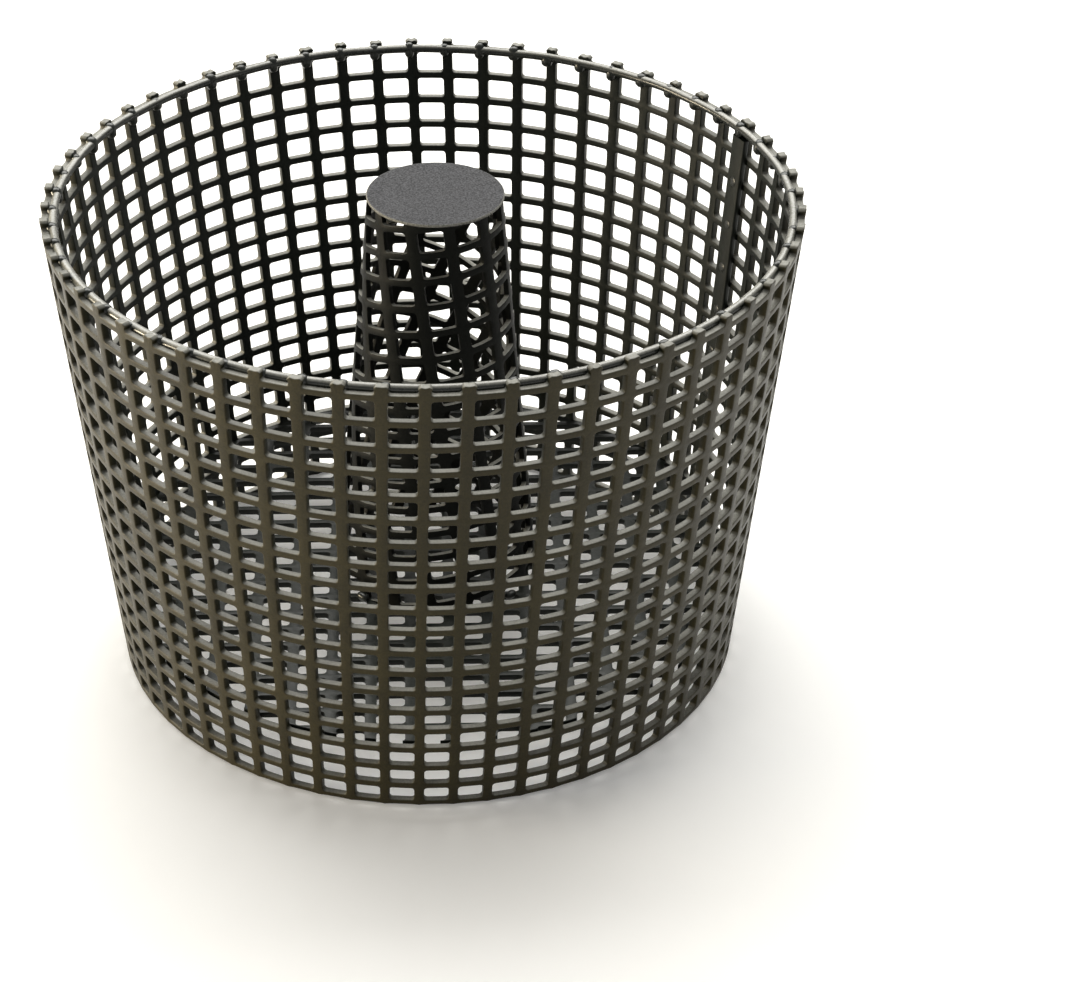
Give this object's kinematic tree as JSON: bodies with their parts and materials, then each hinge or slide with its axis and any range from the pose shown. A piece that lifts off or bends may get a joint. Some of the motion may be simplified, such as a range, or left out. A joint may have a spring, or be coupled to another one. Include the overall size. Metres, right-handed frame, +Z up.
{
  "type": "charcoal starter basket",
  "caption": "Round tapered basket of coated perforated sheet with a raised perforated base and a capped perforated air chimney standing in its middle.",
  "frame": {"origin": "middle of the circle that the lower edge of the wall stands on", "axes": "+Z up along the basket towards its open rim, -Y to the front, where the cut rim stands highest, +X to the right, with the seam at the right and back"},
  "size_m": [0.24, 0.2399, 0.1627],
  "materials": {
    "coated_sheet": "semi-gloss olive-brown coating over steel sheet",
    "coated_wire": "glossy coating over steel wire",
    "weld_metal": "satin coated weld beads",
    "cap_plate": "matt dark grey speckled plate"
  },
  "bodies": {
    "root": {"basket_wall": "coated_sheet", "wall_seam": "coated_sheet", "seam_welds": "weld_metal", "rim_ring": "coated_wire", "ring_welds": "weld_metal", "base_grate": "coated_sheet", "base_welds": "weld_metal", "chimney": "coated_sheet", "chimney_seam": "coated_sheet", "chimney_welds": "weld_metal", "chimney_cap": "cap_plate", "cap_welds": "weld_metal"}
  },
  "joints": []
}
